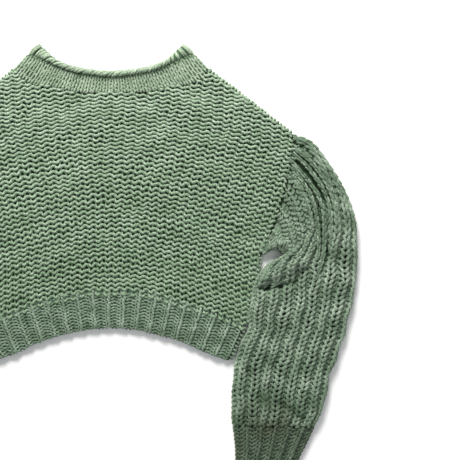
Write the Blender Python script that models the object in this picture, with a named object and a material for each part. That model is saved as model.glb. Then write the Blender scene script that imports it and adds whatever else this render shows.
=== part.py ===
"""Cropped knit sweater, laid flat on its back.

Chunky hand-knit cloth: a front and a back with a ribbed hem, two full sleeves gathered into
their armholes, two ribbed cuffs, and a neckband whose edge rolls over. Every piece is its own
solid. The sleeves, cuffs and neckband are flattened open tubes, and the front lies on the back.

+X is the wearer's left, which is the right-hand side seen from above. +Y runs from hem to neck,
and +Z is up. The origin is on the table, under the middle of the whole garment. Tables are in
millimetres, for the +X half; the other half mirrors them.
"""
import math

import bmesh
import bpy
from mathutils import Vector

MM = 0.001
WALL = 5.0              # one layer of this thick knit
LAYER_GAP = 0.4         # air between two layers that lie on each other
SEAM_GAP = 0.5          # between pieces that are sewn together, and 0.3 at their sharpest corners
FRONT_BASE = WALL + LAYER_GAP
FRONT_TOP = FRONT_BASE + WALL
EDGE_ROUND = 4.0        # how far in from a folded edge the cloth starts to round over
EDGE_LEFT = 1.2         # thickness left at the very edge

# Edges of the body as x and y, each from the middle or the bottom outwards.
HEM_EDGE = [(0, -104.5), (40, -108.5), (78, -117), (112, -128), (146, -144.5), (179, -159)]
HEM_SEAM = [(0, -47), (67, -52), (113, -66.5), (160, -84), (209, -103)]
HEM_SIDE = [(184, -157), (197, -130), (209, -103)]
BODY_SIDE = [(209, -103), (214.5, -90), (216, -66), (219, -46), (226, -23), (232, 6)]
NECK_SEAM = [(0, 261.5), (50, 261.5), (74, 266), (98, 271.5), (122, 273.5), (138, 282), (151, 297)]
NECK_EDGE = [(0, 295), (27, 297), (50, 301), (71, 306.5), (88, 315), (100, 327), (110, 337)]
ROLL_LINE = [(0, 282.5), (26, 285.5), (48, 289), (70, 294), (88, 302), (103, 311), (123, 326)]
NECK_FOLD = [(151, 297), (134, 315), (113, 338)]
UNDERARM = (232, 6)
SHOULDER_TIP = (283.5, 195)
ARMHOLE_BOW = 10.0      # how far the armhole seam bows out from a straight line
NECK_SHARE = 0.55       # the part of the half body's width that meets the neckband
BODY_HALF = 215.0       # half the body's width at its sides
BODY_LENGTH = 340.0     # from the hem's seam to the shoulder
HEM_HALF = 200.0        # half the hem's width

# Sections of a sleeve from armhole to cuff. bow bends the section, height is its top.
SLEEVE_COLUMNS = ("inner_x", "inner_y", "outer_x", "outer_y", "bow", "height")
SLEEVE_SECTIONS = [
    (232, 6, 283.5, 195, 10, 10.4),
    (241, 13, 311, 183.5, 8, 17),
    (256, 16, 339, 148, 4, 21),
    (271, 7, 363, 105, 0, 22),
    (257, -1, 375, 69, -2, 22),
    (243, -8, 379.5, 42, -3, 22),
    (231, -20, 380.5, 14, -4, 21),
    (221, -43, 379, -22, -4, 20),
    (217.5, -70, 373, -58, -3, 19),
    (213, -106, 361, -102, 0, 18),
    (198, -141, 349, -148, 0, 18),
    (190, -185, 335, -191, 0, 18),
    (188.5, -226, 329, -229, 0, 18),
    (191, -258, 314, -259, 0, 14),
]
CUFF_SECTIONS = [
    (191, -258, 314, -259, 0, 14),
    (194, -285, 301, -286, 0, 13),
    (195, -312, 288, -312, 0, 13),
    (196, -338, 279, -338, 0, 13),
]

# Gathers under the sleeve head and the fold under the arm: soft troughs (height below 0) and
# ridges along a line from start to end, all on top of the sleeve.
FOLD_COLUMNS = ("start_x", "start_y", "end_x", "end_y", "width", "height")
SLEEVE_FOLDS = [
    (276, 172, 309, 116, 9, -4.0),
    (309, 116, 326, 20, 9, -3.6),
    (294, 176, 331, 98, 8, -3.0),
    (331, 98, 341, 30, 8, -3.0),
    (272, 140, 298, 96, 8, -2.6),
    (236, -42, 296, -16, 8, -4.5),
    (238, -24, 292, -2, 10, 2.5),
    (300, 150, 352, 40, 14, 2.0),
]

SIDE_STEPS = 3              # faces up the body's side
ARMHOLE_STEPS = 7           # faces up the armhole, on the body and on the sleeve
SIDE_SHARE = 0.36           # the part of the body's outer edge that is below the armhole
NECK_STEPS = 9              # from the middle to one end of the neck seam
SHOULDER_STEPS = 5
HEM_STEPS = 3               # down the hem's rib
NECK_RINGS = 4
SLEEVE_RINGS = 18
CUFF_RINGS = 4
CUFF_STEPS = 5
SLIT = 1.2                  # height of the flattened hollow inside a tube
SLIT_MIDDLE = 5.6           # how high that hollow lies
SIDE_POWER = 5.0            # how square a tube's rounded sides are
ROLL_HEIGHT = 4.5           # how far the rolled neck edge stands above its band
ROLL_START = 0.45           # the share of the band's height where the roll begins
ROLL_SPAN = 0.62            # the share of the band's height that a full roll would take
HEAD_SHARE = 0.08           # the part of the sleeve where its folds rise from a flat seam

SAGE = (0.205, 0.292, 0.192, 1.0)
SAGE_BAND = (0.245, 0.330, 0.222, 1.0)
SAGE_DARK = (0.130, 0.190, 0.122, 1.0)


def along(rows, share):
    """The row at a share (0 to 1) of the way along a smooth curve through a table's rows."""
    knots = [0.0]
    for here, following in zip(rows, rows[1:]):
        knots.append(knots[-1] + math.dist(here, following))
    place = min(max(share, 0.0), 1.0) * knots[-1]
    last = len(rows) - 1
    index = next((i for i in range(last) if place <= knots[i + 1]), last - 1)
    span = knots[index + 1] - knots[index]
    t = (place - knots[index]) / span

    def slope(i):
        low, high = max(i - 1, 0), min(i + 1, last)
        return [(b - a) / (knots[high] - knots[low]) for a, b in zip(rows[low], rows[high])]

    start, end = rows[index], rows[index + 1]
    rise, fall = slope(index), slope(index + 1)
    weights = (2 * t**3 - 3 * t**2 + 1, (t**3 - 2 * t**2 + t) * span,
               3 * t**2 - 2 * t**3, (t**3 - t**2) * span)
    return [weights[0] * a + weights[1] * m + weights[2] * b + weights[3] * n
            for a, m, b, n in zip(start, rise, end, fall)]


def armhole(share, outward=0.0):
    """A point on the armhole seam, from underarm (0) to shoulder tip (1)."""
    low, high = Vector(UNDERARM), Vector(SHOULDER_TIP)
    chord = high - low
    across = Vector((chord.y, -chord.x)).normalized()
    nodes = spaced(ARMHOLE_STEPS, 0.02)
    index = next(i for i in range(1, len(nodes)) if share <= nodes[i] or i == len(nodes) - 1)
    low_bow, high_bow = (4 * node * (1 - node) for node in nodes[index - 1:index + 1])
    mix = (share - nodes[index - 1]) / (nodes[index] - nodes[index - 1])
    bow = ARMHOLE_BOW * (low_bow + (high_bow - low_bow) * mix)
    return low + chord * share + across * (bow + outward)


def near_line(x, y, row):
    """0 to 1: how near a point is to a fold's line, fading at the fold's ends."""
    fold = dict(zip(FOLD_COLUMNS, row))
    start = Vector((fold["start_x"], fold["start_y"]))
    run = Vector((fold["end_x"], fold["end_y"])) - start
    share = min(max((Vector((x, y)) - start).dot(run) / run.length_squared, 0.0), 1.0)
    distance = (Vector((x, y)) - start - run * share).length
    return math.exp(-(distance / fold["width"]) ** 2)


def body_edge(share):
    """A point on the body's outer edge, from the hem seam up to the shoulder tip."""
    if share <= SIDE_SHARE:
        return Vector(along(BODY_SIDE, share / SIDE_SHARE))
    return armhole((share - SIDE_SHARE) / (1 - SIDE_SHARE), -SEAM_GAP / 2)


def body_top(share):
    """A point on the body's upper edge, from centre front along neck seam and shoulder."""
    if share <= NECK_SHARE:
        return Vector(along(NECK_SEAM, share / NECK_SHARE))
    run = (share - NECK_SHARE) / (1 - NECK_SHARE)
    corner, tip = Vector(NECK_SEAM[-1]), armhole(1.0, -SEAM_GAP / 2)
    return corner.lerp(tip, run)


def body_point(across, up):
    """A point of the half body: across 0 (centre) to 1 (side), up 0 (hem) to 1 (neck)."""
    bottom, top = Vector(along(HEM_SEAM, across)), body_top(across)
    edge = body_edge(up)
    low_corner, high_corner = Vector(HEM_SEAM[-1]), body_top(1.0)
    middle_low, middle_high = Vector(HEM_SEAM[0]), Vector(NECK_SEAM[0])
    middle = middle_low.lerp(middle_high, up)
    ruled_up = bottom.lerp(top, up)
    ruled_across = middle.lerp(edge, across)
    corners = middle_low.lerp(low_corner, across).lerp(middle_high.lerp(high_corner, across), up)
    point = ruled_up + ruled_across - corners
    point.y += SEAM_GAP * (0.5 - up)
    return point


def round_over(distance):
    """How much thickness is gone at a distance in from a folded edge."""
    if distance >= EDGE_ROUND:
        return 0.0
    depth = EDGE_ROUND - max(distance, 0.0)
    return (WALL - EDGE_LEFT) * (1 - math.sqrt(1 - (depth / EDGE_ROUND) ** 2))


def spaced(count, edge):
    """Shares from 0 to 1, with two extra close to 1 so that a round edge is round."""
    shares = [i / count for i in range(count + 1)]
    shares[-1:-1] = [1 - edge, 1 - edge * 0.35]
    return shares


def neck_shares():
    """Shares from the middle of the neck seam to its end, where the band folds over."""
    return spaced(NECK_STEPS, 0.03)


def body_shares():
    """Shares across the half body: along the neck seam, then along the shoulder."""
    shoulder = spaced(SHOULDER_STEPS, 0.04)[1:]
    return ([NECK_SHARE * s for s in neck_shares()]
            + [NECK_SHARE + (1 - NECK_SHARE) * s for s in shoulder])


def material(name, colour):
    """A matt wool finish."""
    finish = bpy.data.materials.new(name)
    finish.use_nodes = True
    shader = finish.node_tree.nodes["Principled BSDF"]
    shader.inputs["Base Color"].default_value = colour
    shader.inputs["Roughness"].default_value = 0.9
    shader.inputs["Metallic"].default_value = 0.0
    return finish


def solid(name, points, faces, finish):
    """One closed body from points in millimetres, with its faces turned out."""
    mesh = bpy.data.meshes.new(name)
    mesh.from_pydata([Vector(p) * MM for p in points], [], faces)
    shape = bmesh.new()
    shape.from_mesh(mesh)
    bmesh.ops.triangulate(shape, faces=shape.faces)
    bmesh.ops.recalc_face_normals(shape, faces=shape.faces)
    shape.to_mesh(mesh)
    shape.free()
    mesh.materials.append(finish)
    mesh.shade_smooth()
    mesh.set_sharp_from_angle(angle=math.radians(50))
    piece = bpy.data.objects.new(name, mesh)
    bpy.context.scene.collection.objects.link(piece)
    return piece


def slab(name, over, under, finish):
    """A closed sheet between two grids of points of the same size."""
    rows, columns = len(over), len(over[0])
    points = [p for row in over for p in row] + [p for row in under for p in row]
    lower = rows * columns

    def at(row, column, layer=0):
        return layer * lower + row * columns + column

    faces = []
    for r in range(rows - 1):
        for c in range(columns - 1):
            square = [(r, c), (r, c + 1), (r + 1, c + 1), (r + 1, c)]
            faces.append([at(*corner) for corner in square])
            faces.append([at(*corner, 1) for corner in reversed(square)])
    rim = [(0, c) for c in range(columns)] + [(r, columns - 1) for r in range(1, rows)]
    rim += [(rows - 1, c) for c in range(columns - 2, -1, -1)]
    rim += [(r, 0) for r in range(rows - 2, 0, -1)]
    for here, following in zip(rim, rim[1:] + rim[:1]):
        faces.append([at(*here), at(*here, 1), at(*following, 1), at(*following)])
    return solid(name, points, faces, finish)


def tube(name, outer, inner, finish):
    """An open tube wall. The hollow's rings may be fewer, and the end rings are joined."""
    count = len(outer[0])
    points = [p for ring in outer for p in ring] + [p for ring in inner for p in ring]
    first_inner = len(outer) * count

    def quads(start, rings):
        for ring in range(rings - 1):
            for i in range(count):
                k = (i + 1) % count
                low, high = start + ring * count, start + (ring + 1) * count
                yield [low + i, low + k, high + k, high + i]

    faces = list(quads(0, len(outer))) + list(quads(first_inner, len(inner)))
    ends = [(0, first_inner), ((len(outer) - 1) * count, first_inner + (len(inner) - 1) * count)]
    for wall_start, hollow_start in ends:
        for i in range(count):
            k = (i + 1) % count
            faces.append([wall_start + i, wall_start + k, hollow_start + k, hollow_start + i])
    return solid(name, points, faces, finish)


def roundness(across):
    """0 at a flattened tube's two folded sides, 1 over most of its width."""
    return (1 - abs(2 * across - 1) ** SIDE_POWER) ** (1 / SIDE_POWER)


def ring_shares(steps):
    """Shares across the top of a flattened tube, then back across its underside."""
    fine = spaced(2 * steps, 0.02)
    over = [0.0, 0.007, 0.02] + fine[1:]
    under = [0.985] + [1 - i / steps for i in range(1, steps)] + [0.015]
    return over, under


def inward(share, inset):
    """A share moved in from a tube's folded sides, and left as it is further across."""
    reach = 3.3 * inset
    if share < 0.5:
        return share + inset * max(0.0, 1 - share / reach)
    return share - inset * max(0.0, 1 - (1 - share) / reach)


def tube_ring(plan, height, shares, side):
    """Outer and hollow rings of one section of a flattened tube on the side +1 or -1."""
    over, under = shares
    thickest = height(0.5)
    width = (plan(1.0) - plan(0.0)).length
    middle = SLIT_MIDDLE if thickest > 2 * SLIT_MIDDLE else thickest / 2
    inset = WALL / width
    outer, inner = [], []
    for share, upper in [(s, True) for s in over] + [(s, False) for s in under]:
        bulge = roundness(share)
        spot = plan(share)
        rim = min(middle, height(share))
        level = rim + (height(share) - rim) * bulge if upper else rim * (1 - bulge)
        outer.append((side * spot.x, spot.y, level))
        hollow = plan(inward(share, inset))
        reach = SLIT / 2 * (bulge if upper else -bulge)
        inner.append((side * hollow.x, hollow.y, middle + reach))
    return outer, inner


def sleeve_plan(row):
    """The section's line seen from above, from inner to outer edge, and its height."""
    cut = dict(zip(SLEEVE_COLUMNS, row))
    inner = Vector((cut["inner_x"], cut["inner_y"]))
    chord = Vector((cut["outer_x"], cut["outer_y"])) - inner
    across = Vector((chord.y, -chord.x)).normalized()

    def plan(share):
        return inner + chord * share + across * (cut["bow"] * 4 * share * (1 - share))

    return plan, cut["height"]


def make_sleeve(name, side, finish):
    """A full sleeve, gathered at its head and folded under the arm."""
    outer, inner = [], []
    start = SEAM_GAP / 2
    for ring in range(SLEEVE_RINGS + 1):
        share = ring / SLEEVE_RINGS
        plan, top = sleeve_plan(along(SLEEVE_SECTIONS, share))
        settle = min(1.0, share / HEAD_SHARE)

        def moved(across, plan=plan, first=(ring == 0)):
            return armhole(across, start) if first else plan(across)

        def height(across, plan=plan, top=top, settle=settle):
            spot = plan(across)
            folds = sum(row[-1] * near_line(spot.x, spot.y, row) for row in SLEEVE_FOLDS)
            return top + folds * settle

        wall_ring, hollow_ring = tube_ring(moved, height, ring_shares(ARMHOLE_STEPS), side)
        outer.append(wall_ring)
        if ring % 2 == 0:
            inner.append(hollow_ring)
    return tube(name, outer, inner, finish)


def make_cuff(name, side, finish):
    """A ribbed cuff that draws the sleeve in."""
    outer, inner = [], []
    for ring in range(CUFF_RINGS + 1):
        plan, top = sleeve_plan(along(CUFF_SECTIONS, ring / CUFF_RINGS))
        drop = Vector((0, -SEAM_GAP)) if ring == 0 else Vector((0, 0))

        def moved(across, plan=plan, drop=drop):
            return plan(across) + drop

        def height(_, top=top):
            return top

        wall_ring, hollow_ring = tube_ring(moved, height, ring_shares(CUFF_STEPS), side)
        outer.append(wall_ring)
        inner.append(hollow_ring)
    return tube(name, outer, inner, finish)


def both_halves(shares):
    """Signed shares across the whole body, from -1 to 1."""
    return [-s for s in reversed(shares[1:])] + shares


def make_body(name, front, finish):
    """The front or the back: shaped at neck, shoulders, armholes and sides."""
    over, under = [], []
    ups = [SIDE_SHARE * step / SIDE_STEPS for step in range(SIDE_STEPS)]
    ups += [SIDE_SHARE + (1 - SIDE_SHARE) * s for s in spaced(ARMHOLE_STEPS, 0.02)]
    for across in both_halves(body_shares()):
        side = -1 if across < 0 else 1
        share = abs(across)
        over_row, under_row = [], []
        for up in ups:
            spot = body_point(share, up)
            from_side = (1 - share) * BODY_HALF if spot.y < UNDERARM[1] else EDGE_ROUND
            from_top = (1 - up) * BODY_LENGTH if share > NECK_SHARE + 0.01 else EDGE_ROUND
            lost = round_over(min(from_side, from_top))
            if front:
                levels = (FRONT_TOP - lost, FRONT_BASE)
            else:
                levels = (WALL, lost)
            over_row.append((side * spot.x, spot.y, levels[0]))
            under_row.append((side * spot.x, spot.y, levels[1]))
        over.append(over_row)
        under.append(under_row)
    return slab(name, over, under, finish)


def make_hem(name, front, finish):
    """The hem's rib, along the arch of the lower edge."""
    over, under = [], []
    for across in both_halves(body_shares()):
        side = -1 if across < 0 else 1
        share = abs(across)
        over_row, under_row = [], []
        for step in range(HEM_STEPS + 1):
            up = step / HEM_STEPS
            low, high = Vector(along(HEM_EDGE, share)), Vector(along(HEM_SEAM, share))
            edge = Vector(along(HEM_SIDE, up))
            straight = Vector(HEM_EDGE[-1]).lerp(Vector(HEM_SEAM[-1]), up)
            spot = low.lerp(high, up) + (edge - straight) * share**6
            spot.y -= SEAM_GAP / 2 * up
            lost = round_over((1 - share) * HEM_HALF)
            levels = (FRONT_TOP - lost, FRONT_BASE) if front else (WALL, lost)
            over_row.append((side * spot.x, spot.y, levels[0]))
            under_row.append((side * spot.x, spot.y, levels[1]))
        over.append(over_row)
        under.append(under_row)
    return slab(name, over, under, finish)


def neck_point(across, up):
    """A point of the neckband: across -1 to 1, up 0 (seam), 0.5 (under the roll) to 1 (edge)."""
    share = abs(across)
    side = -1 if across < 0 else 1
    lines = (NECK_SEAM, ROLL_LINE, NECK_EDGE)
    lower = min(int(up * 2), 1)
    mix = up * 2 - lower
    spot = Vector(along(lines[lower], share)).lerp(Vector(along(lines[lower + 1], share)), mix)
    fold = Vector(along(NECK_FOLD, up))
    straight = Vector(along(lines[lower], 1)).lerp(Vector(along(lines[lower + 1], 1)), mix)
    spot += (fold - straight) * share**8
    spot += Vector((-share, 1)) * (SEAM_GAP / 2 * (1 - up))
    return Vector((side * spot.x, spot.y))


def make_neckband(name, finish):
    """One band all round the neck, laid double, with its edge rolled over on the front."""
    outer, inner = [], []
    over = [0.5 + 0.5 * s for s in both_halves(neck_shares())]
    under = [1 - s for s in over[1:-1]]
    for ring in range(NECK_RINGS + 1):
        up = ring / NECK_RINGS
        rolled = min(1.0, max(0.0, (up - ROLL_START) / ROLL_SPAN))
        roll = math.sin(math.pi * rolled)

        def plan(share, up=up):
            return neck_point(2 * share - 1, up)

        def height(share, roll=roll):
            return FRONT_TOP + ROLL_HEIGHT * roll * (1 - abs(2 * share - 1) ** 6)

        wall_ring, hollow_ring = tube_ring(plan, height, (over, under), 1)
        outer.append(wall_ring)
        inner.append(hollow_ring)
    return tube(name, outer, inner, finish)


def clear_scene():
    """An empty scene to build in."""
    for thing in list(bpy.data.objects):
        bpy.data.objects.remove(thing, do_unlink=True)


def main():
    """Make every piece of the sweater."""
    clear_scene()
    body_wool = material("sage_wool_body", SAGE)
    band_wool = material("sage_wool_neckband", SAGE_BAND)
    rib_wool = material("sage_wool_rib", SAGE_DARK)
    make_body("front", True, body_wool)
    make_body("back", False, body_wool)
    make_hem("hem_rib_front", True, rib_wool)
    make_hem("hem_rib_back", False, rib_wool)
    make_neckband("neckband", band_wool)
    for side, word in ((1, "left"), (-1, "right")):
        make_sleeve(f"sleeve_{word}", side, body_wool)
        make_cuff(f"cuff_{word}", side, rib_wool)


main()
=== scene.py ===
"""Cropped hand-knit sweater, laid flat: its yarn, the cloth under the yarn, and their finish.

Every piece is a thin shell with real loops of yarn on it, course by course; the shell is dark,
painted shade for the gaps between the loops.
Lengths in the tables are millimetres and the meshes are metres. +X is the wearer's left, +Y runs
from hem to neck, and +Z is up.
"""
import math

import bpy
import numpy as np
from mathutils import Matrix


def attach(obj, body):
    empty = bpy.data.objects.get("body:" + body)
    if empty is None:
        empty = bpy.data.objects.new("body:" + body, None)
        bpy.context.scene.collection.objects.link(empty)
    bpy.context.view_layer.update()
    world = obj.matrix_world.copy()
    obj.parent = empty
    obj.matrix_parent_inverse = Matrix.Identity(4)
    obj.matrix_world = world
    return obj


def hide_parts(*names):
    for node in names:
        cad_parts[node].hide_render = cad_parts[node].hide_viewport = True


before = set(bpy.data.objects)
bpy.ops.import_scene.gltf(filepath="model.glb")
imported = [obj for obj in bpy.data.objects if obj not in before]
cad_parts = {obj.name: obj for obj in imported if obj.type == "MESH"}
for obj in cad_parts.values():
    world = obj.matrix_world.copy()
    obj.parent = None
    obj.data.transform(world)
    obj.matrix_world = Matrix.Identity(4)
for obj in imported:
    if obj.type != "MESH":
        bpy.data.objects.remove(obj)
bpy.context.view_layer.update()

MM = 0.001
WALL = 5.0
FRONT_BASE = 5.4
FRONT_TOP = 10.4
# The shell under the yarn is coloured as painted shade for the gaps between the loops.
SHELL = 1.8             # thickness of the felted cloth under the yarn
EDGE_ROUND = 5.0        # how far in from a folded edge the cloth starts to round over
FRONT_YARN = 8.6        # height of the middle of the yarn on the front
BACK_YARN = 2.1         # and on the underside of the back
HEM_YARN = 8.2          # and on the hem's front

# Edges of the body, each from the middle or the bottom outwards.
HEM_EDGE = [(0, -104.5), (40, -108.5), (78, -117), (112, -128), (146, -144.5), (179, -159)]
HEM_SEAM = [(0, -47), (67, -52), (113, -66.5), (160, -84), (209, -103)]
HEM_SIDE = [(184, -157), (197, -130), (209, -103)]
BODY_SIDE = [(209, -103), (214.5, -90), (216, -66), (219, -46), (226, -23), (232, 6)]
NECK_SEAM = [(0, 261.5), (50, 261.5), (74, 266), (98, 271.5), (122, 273.5), (138, 282), (151, 297)]
NECK_EDGE = [(0, 295), (27, 297), (50, 301), (71, 306.5), (88, 315), (100, 327), (110, 337)]
ROLL_LINE = [(0, 282.5), (26, 285.5), (48, 289), (70, 294), (88, 302), (103, 311), (123, 326)]
NECK_FOLD = [(151, 297), (134, 315), (113, 338)]
UNDERARM = (232, 6)
SHOULDER_TIP = (283.5, 195)
ARMHOLE_BOW = 10.0

# Sections of a sleeve from armhole to cuff. bow bends the section, height is its top.
SECTION_COLUMNS = ("inner_x", "inner_y", "outer_x", "outer_y", "bow", "height")
SLEEVE_SECTIONS = [
    (232, 6, 283.5, 195, 10, 10.4),
    (241, 13, 311, 183.5, 8, 17),
    (256, 16, 339, 148, 4, 21),
    (271, 7, 363, 105, 0, 22),
    (257, -1, 375, 69, -2, 22),
    (243, -8, 379.5, 42, -3, 22),
    (231, -20, 380.5, 14, -4, 21),
    (221, -43, 379, -22, -4, 20),
    (217.5, -70, 373, -58, -3, 19),
    (213, -106, 361, -102, 0, 18),
    (198, -141, 349, -148, 0, 18),
    (190, -185, 335, -191, 0, 18),
    (188.5, -226, 329, -229, 0, 18),
    (191, -258, 314, -259, 0, 14),
]
CUFF_SECTIONS = [
    (191, -258, 314, -259, 0, 14),
    (194, -285, 301, -286, 0, 13),
    (195, -312, 288, -312, 0, 13),
    (196, -338, 279, -338, 0, 13),
]
# Soft troughs (height below 0) and ridges along a line from start to end, on top of the sleeve.
FOLD_COLUMNS = ("start_x", "start_y", "end_x", "end_y", "width", "height")
SLEEVE_FOLDS = [
    (276, 172, 309, 116, 9, -4.0),
    (309, 116, 326, 20, 9, -3.6),
    (294, 176, 331, 98, 8, -3.0),
    (331, 98, 341, 30, 8, -3.0),
    (272, 140, 298, 96, 8, -2.6),
    (236, -42, 296, -16, 8, -4.5),
    (238, -24, 292, -2, 10, 2.5),
    (300, 150, 352, 40, 14, 2.0),
]
# Narrow creases between the gathers and under the arm, pressed into the yarn. The pressed ones also
# darken the yarn there: painted shade.
CREASES = [
    (284, 174, 303, 181, 3.2, -5.0),
    (288, 156, 326, 96, 13.0, -4.5),
    (326, 96, 328, 20, 11.0, -4.0),
    (277, 167, 302, 138, 3.6, -5.0),
    (302, 138, 326, 108, 3.6, -5.0),
    (326, 108, 334, 88, 3.6, -4.0),
    (284, 140, 304, 115, 3.2, -4.5),
    (304, 115, 322, 84, 3.4, -5.0),
    (322, 84, 325, 58, 3.4, -5.0),
    (325, 58, 333, 14, 3.2, -4.0),
    (333, 14, 318, -32, 3.2, -3.0),
    (296, 164, 322, 133, 3.4, -4.5),
    (322, 133, 343, 98, 3.4, -3.5),
    (290, 152, 312, 126, 2.6, -2.5),
    (312, 126, 327, 96, 2.6, -2.5),
    (232, -43, 264, -40, 4.2, -9.0),
    (264, -40, 288, -31, 3.8, -7.0),
    (288, -31, 300, -14, 3.6, -4.5),
    (270, -17, 281, -7, 3.4, -4.0),
    (238, -30, 262, -24, 8.0, 3.0),
    (262, -24, 292, -2, 8.0, 3.0),
    (242, 20, 262, 27, 7.0, 3.0),
    (262, 27, 284, 14, 6.0, 2.0),
    (240, 118, 262, 60, 3.5, -1.5),
    (252, -92, 262, -122, 6.0, -2.5),
    (214, -170, 250, -232, 7.0, -2.5),
    (262, -222, 300, -246, 6.0, -3.0),
]
# Pleats of the gathered head: cords of folded knit, each a curve down from the shoulder tip.
PLEATS = [
    [(286, 173), (312, 150), (334, 118), (347, 84), (351, 52)],
    [(280, 169), (306, 143), (329, 109), (339, 80), (341, 42), (338, 4)],
    [(274, 160), (298, 133), (318, 106), (328, 80), (331, 42), (328, 4), (316, -30)],
    [(278, 147), (298, 121), (311, 97), (319, 66), (322, 30), (320, -6)],
    [(276, 134), (293, 111), (304, 88), (310, 64), (312, 40)],
    [(228, -36), (240, -22), (256, -10), (272, -3)],
    [(236, -41), (250, -29), (268, -19), (287, -12)],
    [(248, -40), (264, -31), (281, -24), (294, -14)],
]
# The curled lip above the gap under the arm, with short stitches across it.
LIP = [(228, 18), (240, 23), (256, 28), (271, 27), (281, 16), (283, 3)]
EDGE_STITCH = 6.3       # from one loop to the next along a shoulder or a side
SLIT_MIDDLE = 5.6       # how high the hollow of a flattened tube lies
SIDE_POWER = 5.0        # how square a tube's rounded sides are
ROLL_HEIGHT = 4.5       # how far the rolled neck edge stands above its band
ROLL_START = 0.45       # the share of the band's height where the roll begins
ROLL_SPAN = 0.62        # the share of the band's height that a full roll would take
HEAD_SHARE = 0.08       # the part of the sleeve where its folds rise from a flat seam

BODY_COURSES = 54
SPLIT_COURSE = 26       # courses below this one make the lower piece of yarn
BODY_STITCHES = 21      # from the middle to either end of a course
LOOP_HEIGHT = 0.745     # how far a loop reaches up and down, in courses
LOOP_SWAY = 0.085       # how far it leans to each side, in stitches
# The body's gauge: height of each course at centre front, and the width of a stitch there.
COURSE_LEVELS = [(-2, -62.2), (0, -47), (27, 158), (33, 199.5), (60, 367)]
STITCH_WIDTHS = [(-50, 13.2), (40, 13.3), (101, 14.3), (163, 15.8), (225, 17.2), (300, 17.6)]
STITCH_NARROWING = 0.000238     # how much narrower the stitches get towards the sides
COURSE_DROP = 56.0              # how far the lowest course droops at the side
DROP_POWER = 1.7
DROP_SHARES = [(-47, 1.0), (261, 0.45)]


def distances(points):
    """How far along a line each of its points is."""
    return np.concatenate([[0.0], np.cumsum(np.linalg.norm(np.diff(points, axis=0), axis=1))])


def along(rows, share):
    """Rows at shares (0 to 1) of the way along a smooth curve through a table's rows."""
    table = np.array(rows, float)
    knots = distances(table)
    place = np.clip(np.asarray(share, float), 0.0, 1.0) * knots[-1]
    index = np.clip(np.searchsorted(knots, place) - 1, 0, len(table) - 2)
    low = np.maximum(np.arange(len(table)) - 1, 0)
    high = np.minimum(np.arange(len(table)) + 1, len(table) - 1)
    slopes = (table[high] - table[low]) / (knots[high] - knots[low])[:, None]
    span = (knots[index + 1] - knots[index])[..., None]
    t = (place - knots[index])[..., None] / span
    return ((2 * t**3 - 3 * t**2 + 1) * table[index] + (t**3 - 2 * t**2 + t) * span * slopes[index]
            + (3 * t**2 - 2 * t**3) * table[index + 1] + (t**3 - t**2) * span * slopes[index + 1])


def mix(low, high, share):
    """A straight blend of two values or arrays."""
    return low + (high - low) * share


def table_value(rows, place):
    """A value read off a two-column table, straight between its rows."""
    table = np.array(rows, float)
    return np.interp(place, table[:, 0], table[:, 1])


class Waver:
    """Smooth unevenness over the cloth, between about -1 and 1, the same at every run."""

    def __init__(self, seed, size, waves=7):
        random = np.random.default_rng(seed)
        turn = random.uniform(0, 2 * math.pi, waves)
        pitch = 2 * math.pi / (size * random.uniform(0.6, 1.6, waves))
        self.across = np.cos(turn) * pitch
        self.up = np.sin(turn) * pitch
        self.start = random.uniform(0, 2 * math.pi, waves)

    def __call__(self, x, y):
        total = 0.0
        for across, up, start in zip(self.across, self.up, self.start):
            total = total + np.sin(across * x + up * y + start)
        return total / math.sqrt(len(self.start))


# ---------------------------------------------------------------- the forms of the pieces

class Form:
    """A piece's outer surface as a fine grid of points, with a normal at each point."""

    def __init__(self, points, closed=False):
        self.closed = closed
        self.points = points
        if closed:
            columns = np.concatenate([points[:, -1:], points, points[:, :1]], axis=1)
            across = columns[:, 2:] - columns[:, :-2]
        else:
            across = np.gradient(points, axis=1)
        up = np.gradient(points, axis=0)
        normals = np.cross(across, up)
        highest = np.unravel_index(points[..., 2].argmax(), points.shape[:2])
        normals = normals * np.sign(normals[highest][2])
        self.normals = normals / np.maximum(np.linalg.norm(normals, axis=2, keepdims=True), 1e-9)

    def at(self, across, up):
        """Points and normals at shares across and up the form."""
        rows, columns = self.points.shape[:2]
        r = np.clip(up, 0, 1) * (rows - 1)
        r0 = np.clip(np.floor(r).astype(int), 0, rows - 2)
        if self.closed:
            c = np.mod(across, 1.0) * columns
            c0 = np.floor(c).astype(int) % columns
            c1 = (c0 + 1) % columns
        else:
            c = np.clip(across, 0, 1) * (columns - 1)
            c0 = np.clip(np.floor(c).astype(int), 0, columns - 2)
            c1 = c0 + 1
        fr = (r - r0)[..., None]
        fc = (c - np.floor(c))[..., None] if self.closed else (c - c0)[..., None]

        def read(grid):
            low = mix(grid[r0, c0], grid[r0, c1], fc)
            high = mix(grid[r0 + 1, c0], grid[r0 + 1, c1], fc)
            return mix(low, high, fr)

        normal = read(self.normals)
        return read(self.points), normal / np.linalg.norm(normal, axis=-1, keepdims=True)


def armhole(share):
    """Points on the armhole seam, from underarm (0) to shoulder tip (1)."""
    low, high = np.array(UNDERARM, float), np.array(SHOULDER_TIP, float)
    chord = high - low
    across = np.array([chord[1], -chord[0]]) / np.hypot(*chord)
    share = np.asarray(share, float)[..., None]
    return low + chord * share + across * (ARMHOLE_BOW * 4 * share * (1 - share))


def side_limit(y):
    """How far out the body reaches at a height: its side seam, then the armhole."""
    side = along(BODY_SIDE, np.linspace(0, 1, 60))
    arm = armhole(np.linspace(0, 1, 60))
    line = np.concatenate([side, arm[1:]])
    return np.interp(y, line[:, 1], line[:, 0])


def top_limit(x):
    """How high the body reaches at a distance from the middle: neck seam, then shoulder."""
    neck = along(NECK_SEAM, np.linspace(0, 1, 60))
    line = np.concatenate([neck, [SHOULDER_TIP]])
    return np.interp(np.abs(x), line[:, 0], line[:, 1])


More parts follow.
